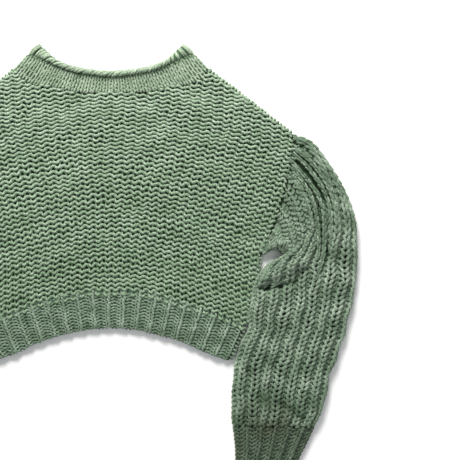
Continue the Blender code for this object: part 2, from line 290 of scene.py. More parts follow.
def course_drop(x, level):
    """How far a course hangs below its height at the middle."""
    return COURSE_DROP * (np.abs(x) / 209.0) ** DROP_POWER * table_value(DROP_SHARES, level)


def body_spot(stitch, course):
    """Where a stitch of the body lies, seen from above."""
    level = table_value(COURSE_LEVELS, course)
    x = table_value(STITCH_WIDTHS, level) * stitch * (1 - STITCH_NARROWING * stitch**2)
    return x, level - course_drop(x, level)


def hem_spot(across, up):
    """Where a point of the hem lies: across -1 to 1, up 0 (cast-on edge) to 1 (seam)."""
    share = np.abs(across)
    side = np.where(across < 0, -1.0, 1.0)
    up = np.asarray(up, float)
    spot = mix(along(HEM_EDGE, share), along(HEM_SEAM, share), up[..., None])
    edge = along(HEM_SIDE, up)
    straight = mix(np.array(HEM_EDGE[-1], float), np.array(HEM_SEAM[-1], float), up[..., None])
    spot = spot + (edge - straight) * share[..., None] ** 6
    return side * spot[..., 0], spot[..., 1]


def neck_spot(across, up):
    """Where a point of the neckband lies: across -1 to 1, up 0 (seam), 0.5, 1 (edge)."""
    share = np.abs(across)
    side = np.where(across < 0, -1.0, 1.0)
    up = np.asarray(up, float)
    seam, roll, edge = (along(rows, share) for rows in (NECK_SEAM, ROLL_LINE, NECK_EDGE))
    high = (up > 0.5)[..., None]
    part = np.where(high, up[..., None] * 2 - 1, up[..., None] * 2)
    spot = np.where(high, mix(roll, edge, part), mix(seam, roll, part))
    ends = [np.array(rows[-1], float) for rows in (NECK_SEAM, ROLL_LINE, NECK_EDGE)]
    straight = np.where(high, mix(ends[1], ends[2], part), mix(ends[0], ends[1], part))
    spot = spot + (along(NECK_FOLD, up) - straight) * share[..., None] ** 8
    return side * spot[..., 0], spot[..., 1]


def roundness(across):
    """0 at a flattened tube's two folded sides, 1 over most of its width."""
    return (1 - np.abs(2 * across - 1) ** SIDE_POWER) ** (1 / SIDE_POWER)


def fold_heights(x, y, folds):
    """How far the folds lift or lower the top of a sleeve."""
    total = np.zeros_like(x)
    for row in folds:
        fold = dict(zip(FOLD_COLUMNS, row))
        start_x, start_y = fold["start_x"], fold["start_y"]
        run = np.array([fold["end_x"] - start_x, fold["end_y"] - start_y], float)
        share = ((x - start_x) * run[0] + (y - start_y) * run[1]) / (run @ run)
        share = np.clip(share, 0, 1)
        distance = np.hypot(x - start_x - share * run[0], y - start_y - share * run[1])
        total += fold["height"] * np.exp(-(distance / fold["width"]) ** 2)
    return total


def even_ring(ring, count):
    """A closed ring of points, spread evenly along its own length."""
    closed = np.concatenate([ring, ring[:1]])
    length = distances(closed)
    places = np.arange(count) / count * length[-1]
    return np.stack([np.interp(places, length, closed[:, k]) for k in range(3)], axis=1)


def ring_of(plan, height, count=240):
    """One section round a flattened tube, over the top and back along its underside."""
    turn = np.linspace(0, math.pi, 120)
    shares = (1 - np.cos(turn)) / 2
    spot = plan(shares)
    top = height(spot[:, 0], spot[:, 1])
    bulge = roundness(shares)
    middle = min(SLIT_MIDDLE, top.mean() / 2)
    over = np.column_stack([spot, middle + (top - middle) * bulge])
    under = np.column_stack([spot, middle * (1 - bulge)])[::-1]
    return even_ring(np.concatenate([over, under[1:-1]]), count)


def tube_form(sections, rings, folded=False):
    """The outside of a sleeve or cuff, from its table of sections."""
    grid = []
    for share in np.linspace(0, 1, rings):
        cut = dict(zip(SECTION_COLUMNS, along(sections, share)))
        inner = np.array([cut["inner_x"], cut["inner_y"]])
        chord = np.array([cut["outer_x"], cut["outer_y"]]) - inner
        across = np.array([chord[1], -chord[0]]) / np.hypot(*chord)
        settle = min(1.0, share / HEAD_SHARE) if folded else 0.0

        def plan(shares, inner=inner, chord=chord, across=across, bow=cut["bow"]):
            s = shares[:, None]
            return inner + chord * s + across * (bow * 4 * s * (1 - s))

        def height(x, y, top=cut["height"], settle=settle):
            return top + fold_heights(x, y, SLEEVE_FOLDS) * settle

        grid.append(ring_of(plan, height))
    return Form(np.array(grid), closed=True)


# ---------------------------------------------------------------- yarn and cloth meshes

def new_mesh(name, points, faces, finish):
    """A mesh object from points in millimetres and a list of faces."""
    mesh = bpy.data.meshes.new(name)
    mesh.from_pydata((points * MM).tolist(), [], faces)
    mesh.materials.append(finish)
    mesh.shade_smooth()
    piece = bpy.data.objects.new(name, mesh)
    bpy.context.scene.collection.objects.link(piece)
    return piece


class Yarn:
    """Runs of yarn that become one mesh of thin tubes."""

    # deep is painted shade: each tube's tint falls by it from the top of the tube to its underside.
    def __init__(self, sides, deep=0.08):
        self.sides = sides
        self.deep = deep
        self.runs = []

    def lay(self, path, lift, radius, tint, flat=1.0):
        """Add a run: its points, the cloth's normal, its radius and its tint at each point."""
        if len(path) >= 4:
            shape = path.shape[0]
            self.runs.append((path, lift, np.broadcast_to(radius, shape),
                              np.broadcast_to(tint, shape), np.broadcast_to(flat, shape)))

    def build(self, name, finish, mirrored=False):
        """One mesh of every run, with a closed end on each."""
        sides = self.sides
        angles = np.arange(sides) / sides * 2 * math.pi
        points, faces, tints, lengths = [], [], [], []
        first = 0
        for path, lift, radius, tint, flat in self.runs:
            tangent = np.gradient(path, axis=0)
            tangent /= np.maximum(np.linalg.norm(tangent, axis=1, keepdims=True), 1e-9)
            beside = np.cross(tangent, lift)
            beside /= np.maximum(np.linalg.norm(beside, axis=1, keepdims=True), 1e-9)
            above = np.cross(beside, tangent)
            taper = np.ones(len(path))
            taper[0] = taper[-1] = 0.55
            reach = (radius * taper)[:, None, None]
            ring = (np.cos(angles)[None, :, None] * beside[:, None, :]
                    + np.sin(angles)[None, :, None] * above[:, None, :] * flat[:, None, None])
            ring = path[:, None, :] + ring * reach
            if mirrored:
                ring = ring * np.array([-1.0, 1.0, 1.0])
            points.append(ring.reshape(-1, 3))
            # Painted shade: darker down the sides and underneath of each tube, lightest on its top.
            tints.append((tint[:, None] + self.deep * (np.sin(angles) - 1)).reshape(-1))
            lengths.append(np.repeat(distances(path), sides))
            place = first + np.arange(len(path) - 1)[:, None] * sides
            k = np.arange(sides)
            following = (k + 1) % sides
            quads = np.stack([place + k, place + following, place + following + sides,
                              place + k + sides], axis=2).reshape(-1, 4)
            last = first + (len(path) - 1) * sides
            ends = [list(range(first + sides - 1, first - 1, -1)), list(range(last, last + sides))]
            if not mirrored:
                faces.extend(quads[:, ::-1].tolist())
                faces.extend([end[::-1] for end in ends])
            else:
                faces.extend(quads.tolist())
                faces.extend(ends)
            first += len(path) * sides
        points = np.concatenate(points)
        piece = new_mesh(name, points, faces, finish)
        for word, values in (("tint", np.concatenate(tints)), ("run", np.concatenate(lengths))):
            layer = piece.data.attributes.new(word, "FLOAT", "POINT")
            layer.data.foreach_set("value", values.astype(np.float32))
        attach(piece, "root")
        return piece


def runs_inside(inside):
    """Start and end of each unbroken stretch that is inside the piece."""
    edges = np.flatnonzero(np.diff(np.concatenate([[0], inside.astype(int), [0]])))
    return list(zip(edges[::2], edges[1::2]))


def shell(name, outer, inner, closed, finish, mirrored=False):
    """A thin closed shell between two grids of points, open at a tube's two ends."""
    rows, columns = outer.shape[:2]
    points = np.concatenate([outer.reshape(-1, 3), inner.reshape(-1, 3)])
    lower = rows * columns
    r = np.arange(rows - 1)[:, None]
    c = np.arange(columns if closed else columns - 1)[None, :]
    k = (c + 1) % columns
    over = np.stack([r * columns + c, r * columns + k, (r + 1) * columns + k,
                     (r + 1) * columns + c], axis=2).reshape(-1, 4)
    faces = over.tolist() + (over[:, ::-1] + lower).tolist()
    if closed:
        rims = [[(0, i) for i in range(columns)] + [(0, 0)],
                [(rows - 1, i) for i in range(columns - 1, -1, -1)] + [(rows - 1, columns - 1)]]
    else:
        rim = [(0, i) for i in range(columns)] + [(i, columns - 1) for i in range(1, rows)]
        rim += [(rows - 1, i) for i in range(columns - 2, -1, -1)]
        rim += [(i, 0) for i in range(rows - 2, -1, -1)]
        rims = [rim]
    for rim in rims:
        for here, following in zip(rim, rim[1:]):
            a = here[0] * columns + here[1]
            b = following[0] * columns + following[1]
            faces.append([a, a + lower, b + lower, b])
    if mirrored:
        points = points * np.array([-1.0, 1.0, 1.0])
        faces = [face[::-1] for face in faces]
    piece = new_mesh(name, points, faces, finish)
    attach(piece, "root")
    return piece


# ---------------------------------------------------------------- finishes

class Value:
    """A socket in a finish's node tree. Sums on it add Math nodes."""

    def __init__(self, tree, socket=None):
        self.tree = tree
        self.socket = socket

    def node(self, kind, settings=None, sockets=None, output=0):
        """One output of a new node, its settings set before its sockets."""
        made = self.tree.nodes.new(kind)
        for word, value in (settings or {}).items():
            if word == "stops":
                ramp = made.color_ramp
                while len(ramp.elements) < len(value):
                    ramp.elements.new(0.5)
                for element, (place, colour) in zip(ramp.elements, value):
                    element.position = place
                    element.color = colour
            else:
                setattr(made, word, value)
        for word, value in (sockets or {}).items():
            if isinstance(value, Value):
                self.tree.links.new(value.socket, made.inputs[word])
            else:
                made.inputs[word].default_value = value
        return Value(self.tree, made.outputs[output])

    def maths(self, operation, first, second):
        return self.node("ShaderNodeMath", {"operation": operation}, {0: first, 1: second})

    def __add__(self, other):
        return self.maths("ADD", self, other)

    def __radd__(self, other):
        return self.maths("ADD", other, self)

    def __sub__(self, other):
        return self.maths("SUBTRACT", self, other)

    def __rsub__(self, other):
        return self.maths("SUBTRACT", other, self)

    def __mul__(self, other):
        return self.maths("MULTIPLY", self, other)

    def __rmul__(self, other):
        return self.maths("MULTIPLY", other, self)

    def between(self, low, high):
        """0 below one value, 1 above another, and smooth in between."""
        return self.node("ShaderNodeMapRange", {"interpolation_type": "SMOOTHSTEP"},
                         {"Value": self, "From Min": low, "From Max": high})

    def blend(self, first, second, how="MIX"):
        """A colour between two colours, by this value."""
        return self.node("ShaderNodeMix", {"data_type": "RGBA", "blend_type": how},
                         {0: self, 6: first, 7: second}, output=2)

    def noise(self, size, detail=2.0, roughness=0.5):
        """Soft random mottling, with spots about size metres apart."""
        return self.node("ShaderNodeTexNoise", {}, {
            "Vector": self, "Scale": 1 / size, "Detail": detail, "Roughness": roughness})


def spot_mask(base, x, y, reach_x, reach_y):
    """1 at a place on the garment and 0 beyond its reach, in metres."""
    parts = base.node("ShaderNodeSeparateXYZ", {}, {0: base})
    up = Value(base.tree, parts.socket.node.outputs[1])
    far_x = (parts - x) * (1 / reach_x)
    far_y = (up - y) * (1 / reach_y)
    return 1 - (far_x * far_x + far_y * far_y).between(0.0, 1.0)


def yarn_finish(name, dark, middle, light, sheen=0.35):
    """Soft spun wool: fuzzy plies, mottled dye, olive patches, and painted shade from the tint
    attribute.
    """
    finish = bpy.data.materials.new(name)
    finish.use_nodes = True
    tree = finish.node_tree
    shader = tree.nodes["Principled BSDF"]
    start = Value(tree)
    place = start.node("ShaderNodeTexCoord", {}, {}, output=3)
    tint = start.node("ShaderNodeAttribute", {"attribute_name": "tint"}, {}, output=2)
    run = start.node("ShaderNodeAttribute", {"attribute_name": "run"}, {}, output=2)
    cloudy = place.noise(0.055, 3.0)
    flecks = place.noise(0.0021, 3.0, 0.7)
    fuzz = place.noise(0.0011, 2.0, 0.6)
    shade = tint + (cloudy - 0.5) * 0.22 + (flecks - 0.5) * 1.9
    colour = shade.node("ShaderNodeValToRGB", {"stops": [
        (0.08, (*dark, 1.0)), (0.5, (*middle, 1.0)), (0.95, (*light, 1.0))]}, {"Fac": shade})
    olive = (0.052, 0.060, 0.030, 1.0)
    for x, y, reach_x, reach_y, strength in (
            (0.240, -0.243, 0.052, 0.040, 0.85), (0.190, -0.280, 0.022, 0.070, 0.45),
            (-0.225, -0.250, 0.055, 0.040, 0.45), (0.0, -0.118, 0.26, 0.018, 0.25)):
        mask = spot_mask(place, x, y, reach_x, reach_y) * strength * (cloudy.between(0.3, 0.6))
        colour = mask.blend(colour, olive)
    tree.links.new(colour.socket, shader.inputs["Base Color"])
    twist = start.node("ShaderNodeMath", {"operation": "SINE"}, {0: run * 1.9})
    relief = fuzz * 0.7 + flecks * 0.9 + twist * 0.06
    bump = start.node("ShaderNodeBump", {}, {"Height": relief, "Strength": 0.65,
                                             "Distance": 0.0012})
    tree.links.new(bump.socket, shader.inputs["Normal"])
    rough = flecks * 0.12 + 0.84
    tree.links.new(rough.socket, shader.inputs["Roughness"])
    shader.inputs["Specular IOR Level"].default_value = 0.25
    shader.inputs["Sheen Weight"].default_value = sheen
    shader.inputs["Sheen Roughness"].default_value = 0.55
    shader.inputs["Sheen Tint"].default_value = (0.80, 0.92, 0.74, 1.0)
    return finish


def cloth_finish(name, dark, light):
    """The ground behind the loops in two given colours; most pieces get dark painted shade for the
    gaps between loops.
    """
    finish = bpy.data.materials.new(name)
    finish.use_nodes = True
    tree = finish.node_tree
    shader = tree.nodes["Principled BSDF"]
    start = Value(tree)
    place = start.node("ShaderNodeTexCoord", {}, {}, output=3)
    mottle = place.noise(0.004, 3.0, 0.6)
    colour = mottle.node("ShaderNodeValToRGB", {"stops": [
        (0.3, (*dark, 1.0)), (0.7, (*light, 1.0))]}, {"Fac": mottle})
    tree.links.new(colour.socket, shader.inputs["Base Color"])
    bump = start.node("ShaderNodeBump", {}, {"Height": place.noise(0.002, 3.0, 0.7),
                                             "Strength": 0.8, "Distance": 0.001})
    tree.links.new(bump.socket, shader.inputs["Normal"])
    rough = mottle * 0.1 + 0.88
    tree.links.new(rough.socket, shader.inputs["Roughness"])
    shader.inputs["Specular IOR Level"].default_value = 0.15
    return finish


# The sleeve, hem rib and cuff palettes are darker copies of the same sage yarn: painted shade,
# deepest at the cuffs.
BODY_YARN = yarn_finish("sage_yarn_body", (0.066, 0.136, 0.060), (0.214, 0.302, 0.200),
                        (0.440, 0.535, 0.425))
NECK_YARN = yarn_finish("sage_yarn_neck", (0.066, 0.125, 0.058), (0.196, 0.270, 0.180),
                        (0.400, 0.480, 0.365))
RIB_YARN_PAINTED_SHADE = yarn_finish("sage_yarn_rib_painted_shade", (0.036, 0.080, 0.037), (0.138, 0.200, 0.140),
                       (0.310, 0.390, 0.305))
CUFF_YARN_PAINTED_SHADE = yarn_finish("sage_yarn_cuff_painted_shade", (0.016, 0.036, 0.017), (0.060, 0.092, 0.057),
                        (0.165, 0.215, 0.155))
SLEEVE_YARN_PAINTED_SHADE = yarn_finish("sage_yarn_sleeve_painted_shade", (0.030, 0.068, 0.030), (0.116, 0.172, 0.114),
                          (0.330, 0.410, 0.320))
# The dark ground is painted shade, seen in the gaps between the loops.
SHADE_GROUND = cloth_finish("felted_ground", (0.012, 0.030, 0.011), (0.030, 0.055, 0.027))
NECK_GROUND = cloth_finish("felted_ground_neck", (0.040, 0.078, 0.036), (0.095, 0.150, 0.085))


# ---------------------------------------------------------------- the front and the back

def stitch_path(first, last, segments, sway, lean=0.0):
    """The wave of one course: phase, place across in stitches, and its height from -1 to 1."""
    phase = np.linspace(first, last, int((last - first) * segments) + 1) * 2 * math.pi
    across = phase / (2 * math.pi) + sway * np.sin(2 * phase) * (1 - lean * np.sin(phase))
    return phase, across, np.cos(phase)


def edge_fall(distance):
    """How far the cloth falls away at a distance in from a rounded edge."""
    rounding = np.clip(1 - distance / EDGE_ROUND, 0, 1)
    return EDGE_ROUND * (1 - np.sqrt(np.maximum(1 - rounding**2, 0)))


def body_yarn(front, seed, segments, sides):
    """Reverse-side loops in courses that droop towards the sides."""
    yarns = [Yarn(sides), Yarn(sides)]
    random = np.random.default_rng(seed)
    slow_x, slow_y = Waver(seed + 1, 70.0), Waver(seed + 2, 60.0)
    tone = Waver(seed + 3, 34.0)
    reach = BODY_STITCHES
    for course in range(BODY_COURSES):
        phase, across, height = stitch_path(-reach, reach, segments, LOOP_SWAY)
        size = 2 * reach + 3
        shift, rise, grow, fat, deep = (random.normal(0, s, size)
                                        for s in (0.045, 0.035, 0.05, 0.05, 0.12))
        knots = np.arange(size) - reach - 1
        at = phase / (2 * math.pi)
        stitch = across + np.interp(at, knots, shift)
        level = course + LOOP_HEIGHT * height * (1 + np.interp(at, knots, grow))
        level = level + np.interp(at, knots, rise)
        x, y = body_spot(stitch, level)
        even_x, even_y = x, y
        x = even_x + 1.6 * slow_x(even_x, even_y)
        y = even_y + 1.3 * slow_y(even_x, even_y)
        depth = 2.5 * np.cos(2 * phase) * (1 + np.interp(at, knots, deep))
        side_gap = side_limit(y) - np.abs(x)
        top_gap = (top_limit(x) - y) * np.where(np.abs(x) > 150, 0.79, 1.0)
        curl_gap = np.where(y < 6, side_gap, 99.0)
        curl_gap = np.minimum(curl_gap, np.where(np.abs(x) > 148, top_gap, 99.0))
        fall = edge_fall(curl_gap)
        if front:
            z = FRONT_YARN + depth + 0.5 * slow_y(even_y, even_x) - fall * 0.8
            lift = np.tile([0.0, 0.0, 1.0], (len(x), 1))
            flat = 1.0
        else:
            z = BACK_YARN - 0.22 * depth + fall * 0.4
            lift = np.tile([0.0, 0.0, -1.0], (len(x), 1))
            flat = 0.72
        path = np.column_stack([x, y, z])
        level_now = table_value(COURSE_LEVELS, course)
        radius = table_value([(-50, 2.25), (150, 2.3), (210, 2.15), (300, 2.1)], level_now)
        radius = radius * (1 + np.interp(at, knots, fat)) * (1 + 0.10 * np.cos(2 * phase))
        tint = 0.52 + 0.05 * tone(x, y) + 0.03 * random.normal()
        # Painted light falloff: the body's yarn is lighter towards the neck and darker towards the
        # hem.
        tint = tint + table_value([(-60, -0.10), (60, -0.02), (200, 0.04), (280, 0.12)], y)
        inside = (side_gap > 0.3) & (top_gap > -1.5)
        for begin, end in runs_inside(inside):
            part = slice(begin, end)
            yarns[0 if course < SPLIT_COURSE else 1].lay(path[part], lift[part], radius[part],
                                               tint[part], flat)
    return yarns


def lay_edge(yarn, line, random):
    """Loops round an edge where two layers meet, from the upper layer down to the lower."""
    points = along(line, np.linspace(0, 1, 200))
    run = distances(points)
    turn = np.linspace(0, 1, 9)
    around = np.sin(np.pi * turn)
    for number in range(int(run[-1] / EDGE_STITCH)):
        places = (number + 0.5 + 0.5 * (turn - 0.5)) * EDGE_STITCH
        spot = np.column_stack([np.interp(places, run, points[:, k]) for k in (0, 1)])
        ahead = np.gradient(spot, axis=0)
        ahead /= np.linalg.norm(ahead, axis=1, keepdims=True)
        out = np.column_stack([-ahead[:, 1], ahead[:, 0]])
        reach = 4.4 * around - 3.0 + random.normal(0, 0.35)
        path = np.column_stack([spot + out * reach[:, None], mix(9.2, 1.9, turn)])
        lift = np.column_stack([out * around[:, None], np.cos(np.pi * turn)])
        radius = 2.15 * (0.85 + 0.25 * around) * (1 + random.normal(0, 0.06))
        yarn.lay(path, lift, radius, 0.56 + 0.06 * random.normal())


def edge_yarn(lines, seed):
    """The loops along the edges where a front and a back are joined."""
    yarn = Yarn(5)
    random = np.random.default_rng(seed)
    for line in lines:
        lay_edge(yarn, line, random)
    return yarn


def body_shell(name, front):
    """The dark shell under the yarn of the front or the back: painted shade between the loops."""
    ups = np.linspace(0, 1, 45)
    widths = np.linspace(-1, 1, 61)[:, None]
    bottom = along(HEM_SEAM, np.abs(widths[:, 0]))[:, 1]
    top_y = np.interp(np.abs(widths[:, 0]) * 283, *np.concatenate(
        [along(NECK_SEAM, np.linspace(0, 1, 40)), [SHOULDER_TIP]]).T)
    y = bottom[:, None] + (top_y - bottom)[:, None] * ups[None, :]
    x = widths * side_limit(y)
    x = np.sign(x) * np.maximum(np.abs(x) - 1.2, 0)
    y = np.minimum(y, top_limit(x) - 1.0)
    if front:
        over, under = FRONT_BASE + SHELL, FRONT_BASE + 0.1
    else:
        over, under = WALL - 0.1, WALL - SHELL
    outer = np.stack([x, y, np.full_like(x, over)], axis=2)
    inner = np.stack([x, y, np.full_like(x, under)], axis=2)
    return shell(name, outer[:, ::-1], inner[:, ::-1], False, SHADE_GROUND)


# ---------------------------------------------------------------- ribs, sleeves and neckband

def rib_wave(first, last, segments, sway, lean, knit_share):
    """The wave of a one-and-one rib: phase, place in repeats, height, and knit (1) to purl (-1)."""
    phase, across, height = stitch_path(first, last, segments, sway, lean)
    kind = np.cos(math.pi * across)
    place = across / 2 + knit_share * np.sin(math.pi * across) / (2 * math.pi)
    return phase, place, height, kind


def hem_yarn(front, seed, segments, sides):
    """One-and-one rib that fans out along the arch of the hem, with a soft cast-on edge."""
    yarn = Yarn(sides)
    random = np.random.default_rng(seed)
    tone = Waver(seed + 3, 26.0)
    arc = 218.0
    repeat = 24.5
    stitches = int(2 * arc / repeat) + 1
    courses = 12
    for course in range(courses + 1):
        phase, place, height, kind = rib_wave(-stitches, stitches, segments, 0.13, 0.75, -0.12)
        size = 2 * stitches + 3
        knots = np.arange(size) - stitches - 1
        at = phase / (2 * math.pi)
        shift, rise, fat = (np.interp(at, knots, random.normal(0, s, size))
                            for s in (0.03, 0.05, 0.06))
        across = ((place + shift) * repeat - 6.0) / arc
        level = (course + 0.1 + (0.72 * height + rise)) / (courses + 0.3)
        soft = max(0.0, 1 - course / 2.0)
        inside = (np.abs(across) < 0.995) & (level > -0.02)
        across = np.clip(across, -1, 1)
        x, y = hem_spot(across, np.clip(level, -0.03, 1.06))
        from_side = (1 - np.abs(across)) * 200
        fall = edge_fall(from_side)
        ridge = np.maximum(kind, 0) * np.sin(phase)
        depth = -1.5 * np.cos(2 * phase) * kind + 1.0 * kind + 1.3 * ridge
        if front:
            z = HEM_YARN + depth - 0.8 * fall - 0.8 * soft
            lift = np.tile([0.0, 0.0, 1.0], (len(x), 1))
            flat = 1.0
        else:
            z = BACK_YARN - 0.4 * depth + 0.4 * fall
            lift = np.tile([0.0, 0.0, -1.0], (len(x), 1))
            flat = 0.8
        path = np.column_stack([x, y, z])
        radius = 1.75 * (1 + fat) * (1 + 0.18 * ridge)
        # Painted shade and highlight: purl columns darker, knit columns and their ridges lighter;
        # the cast-on courses are darker too.
        tint = 0.48 + 0.10 * tone(x, y) - 0.15 * soft + 0.06 * kind + 0.05 * ridge
        for begin, end in runs_inside(inside):
            part = slice(begin, end)
            yarn.lay(path[part], lift[part], radius[part], tint[part], flat)
    return yarn


def hem_shell(name, front):
    """The dark shell under the hem's yarn: painted shade between the loops."""
    across, up = np.meshgrid(np.linspace(-0.99, 0.99, 81), np.linspace(0.02, 0.99, 9),
                             indexing="ij")
    x, y = hem_spot(across, up)
    over, under = (FRONT_BASE + SHELL, FRONT_BASE + 0.1) if front else (WALL - 0.1, WALL - SHELL)
    outer = np.stack([x, y, np.full_like(x, over)], axis=2)
    inner = np.stack([x, y, np.full_like(x, under)], axis=2)
    return shell(name, outer[:, ::-1], inner[:, ::-1], False, SHADE_GROUND)


def tube_shell(name, form, inset, mirrored, first=0.0, last=1.0, rings=49, creases=False,
               ground=None):
    """The shell of a sleeve or cuff: a thin wall just under its yarn, dark as painted shade unless
    a ground is given.
    """
    across, up = np.meshgrid(np.arange(120) / 120, np.linspace(first, last, rings), indexing="xy")
    spot, normal = form.at(across, up)
    if creases:
        spot[..., 2] += pressed(spot, normal, across, up)
    outer = spot - normal * inset
    inner = spot - normal * (inset + SHELL)
    outer[..., 2] = np.maximum(outer[..., 2], 1.0)
    inner[..., 2] = np.maximum(inner[..., 2], 1.0 + SHELL * 0.6)
    return shell(name, outer, inner, True, ground or SHADE_GROUND, mirrored)


def pressed(spot, normal, turn, up):
    """How far the creases press the top of a sleeve down, and 0 on its underside."""
    depth = fold_heights(spot[..., 0], spot[..., 1], CREASES) * np.clip(up / 0.03, 0, 1)
    return np.where((turn > 0.002) & (turn < 0.5), depth, 0.0) * np.clip(normal[..., 2], 0, 1)


def top_height(form, x, y):
    """How high the top of a sleeve is at its point nearest to each place."""
    top = form.points[:, :int(form.points.shape[1] * 0.5)].reshape(-1, 3)
    near = ((top[None, :, 0] - x[:, None])**2 + (top[None, :, 1] - y[:, None])**2).argmin(axis=1)
    return top[near, 2]


def lay_pleat(yarn, form, pleat, random):
    """One cord of folded knit on the sleeve's head: two rows of long stitches side by side."""
    line = along(pleat, np.linspace(0, 1, 200))
    run = distances(line)
    stitch = 11.0
    for number in range(int(run[-1] / stitch)):
        for side in (-1, 1):
            places = (number + 0.25 * (side > 0) + np.linspace(-0.15, 1.05, 9)) * stitch
            x = np.interp(places, run, line[:, 0])
            y = np.interp(places, run, line[:, 1])
            ahead = np.gradient(np.column_stack([x, y]), axis=0)
            ahead /= np.maximum(np.linalg.norm(ahead, axis=1, keepdims=True), 1e-9)
            turn = np.linspace(0, 1, 9)
            off = side * (2.2 - 1.5 * turn) + random.normal(0, 0.2)
            x = x + off * -ahead[:, 1]
            y = y + off * ahead[:, 0]
            z = top_height(form, x, y) - 1.0 + 1.2 * np.sin(np.pi * turn)
            radius = 1.65 * (0.75 + 0.35 * np.sin(np.pi * turn)) * (1 + random.normal(0, 0.06))
            yarn.lay(np.column_stack([x, y, z]), np.tile([0.0, 0.0, 1.0], (9, 1)), radius,
                     0.46 + 0.12 * random.normal())


def lay_lip(yarn, form, random):
    """Short stitches across the curled lip above the gap under the arm."""
    line = along(LIP, np.linspace(0, 1, 100))
    run = distances(line)
    ahead = np.gradient(line, axis=0)
    ahead /= np.linalg.norm(ahead, axis=1, keepdims=True)
    turn = np.linspace(0, 1, 9)
    for place in np.arange(2.0, run[-1], 4.6):
        spot = [np.interp(place, run, line[:, k]) for k in (0, 1)]
        way = [np.interp(place, run, ahead[:, k]) for k in (0, 1)]
        reach = (6.5 + random.normal(0, 1.0)) * (1 - 2 * turn)
        slide = random.normal(0, 1.5) * (turn - 0.5)
        x = spot[0] - way[1] * reach + way[0] * slide
        y = spot[1] + way[0] * reach + way[1] * slide
        z = top_height(form, x, y) - 1.2 + 1.8 * np.sin(np.pi * turn)
        radius = 1.75 * (0.75 + 0.35 * np.sin(np.pi * turn))
        yarn.lay(np.column_stack([x, y, z]), np.tile([0.0, 0.0, 1.0], (9, 1)), radius,
                 0.50 + 0.12 * random.normal())


def sleeve_yarn(form, seed, segments, sides):
    """Fat wheat-ear ribs down the sleeve, packed close together where they are gathered."""
    # The sleeve's tubes carry deeper painted shade on their sides and undersides.
    over_yarn, under_yarn = Yarn(sides, 0.14), Yarn(4, 0.14)
    random = np.random.default_rng(seed)
    tone = Waver(seed + 3, 40.0)
    swell, sag = Waver(seed + 5, 46.0), Waver(seed + 6, 50.0)
    middle = form.points[:, int(form.points.shape[1] * 0.29)]
    length = distances(middle)
    shares = np.linspace(0, 1, len(length))
    courses = int(length[-1] / 7.9)
    repeats = 16
    stitches = 2 * repeats
    for course in range(courses + 1):
        phase, place, height, kind = rib_wave(0, stitches, segments, 0.23, 0.0, 0.5)
        size = stitches + 3
        knots = np.arange(size) - 1
        at = phase / (2 * math.pi)
        shift, rise, fat = (np.interp(at, knots, random.normal(0, s, size))
                            for s in (0.03, 0.06, 0.07))
        begin_line = course / courses * length[-1]
        share = np.interp(begin_line, length, shares)
        line = begin_line - (0.72 * height + rise) * length[-1] / courses
        up = np.interp(line, length, shares)
        gather = max(0.0, 1 - share / 0.40)
        turn = np.mod((place + shift) / repeats + 0.07 * max(0.0, 1 - share / 0.22), 1.0)
        top = np.clip(turn / 0.5, 0, 1)
        packed = 0.5 * (1 - (1 - top) ** (1 + 0.55 * gather))
        turn = np.where((turn > 0) & (turn < 0.5), packed, turn)
        spot, normal = form.at(turn, up)
        x, y = spot[:, 0], spot[:, 1]
        knit = np.maximum(kind, 0)
        depth = -2.2 * np.cos(2 * phase) * kind + 2.4 * kind - 3.0
        path = spot + normal * depth[:, None]
        over = (turn > 0.002) & (turn < 0.5)
        crease = pressed(spot, normal, turn, np.full(len(x), share))
        path[:, 2] += crease
        path[:, 2] += np.where(over, swell(x, y), 0.0) * np.clip(normal[:, 2], 0, 1)
        path[:, 0] += 1.8 * sag(x, y) * (1 - gather)
        radius = 2.4 * (1 + fat) * (1 + 0.30 * knit * (1 - np.cos(2 * phase)) / 2)
        radius = radius * (1 - 0.22 * gather * top)
        # Painted shade and highlight: purl columns darker, knit ribs lighter.
        tint = 0.46 + 0.12 * tone(x, y) + 0.10 * kind
        # Painted shade: darker towards the cuff and the head of the sleeve, lightest a little below
        # the underarm.
        tint = tint + table_value([(-260, -0.12), (-190, 0.04), (-20, 0.14), (60, 0.06),
                                   (120, -0.02), (200, -0.02)], y)
        # Painted shade in the pressed creases.
        tint = tint + 0.07 * np.minimum(crease, 0)
        path[:, 2] = np.maximum(path[:, 2], 1.9)
        inside = (line > -2.0) & (line < length[-1] + 1.0)
        seen = (turn > 0.96) | (turn < 0.54)
        for yarn, mask in ((over_yarn, inside & seen), (under_yarn, inside & ~seen)):
            for begin, end in runs_inside(mask):
                part = slice(begin, min(end + 1, len(path)))
                yarn.lay(path[part], normal[part], radius[part], tint[part])
    for pleat in PLEATS:
        lay_pleat(over_yarn, form, pleat, random)
    lay_lip(over_yarn, form, random)
    return over_yarn, under_yarn


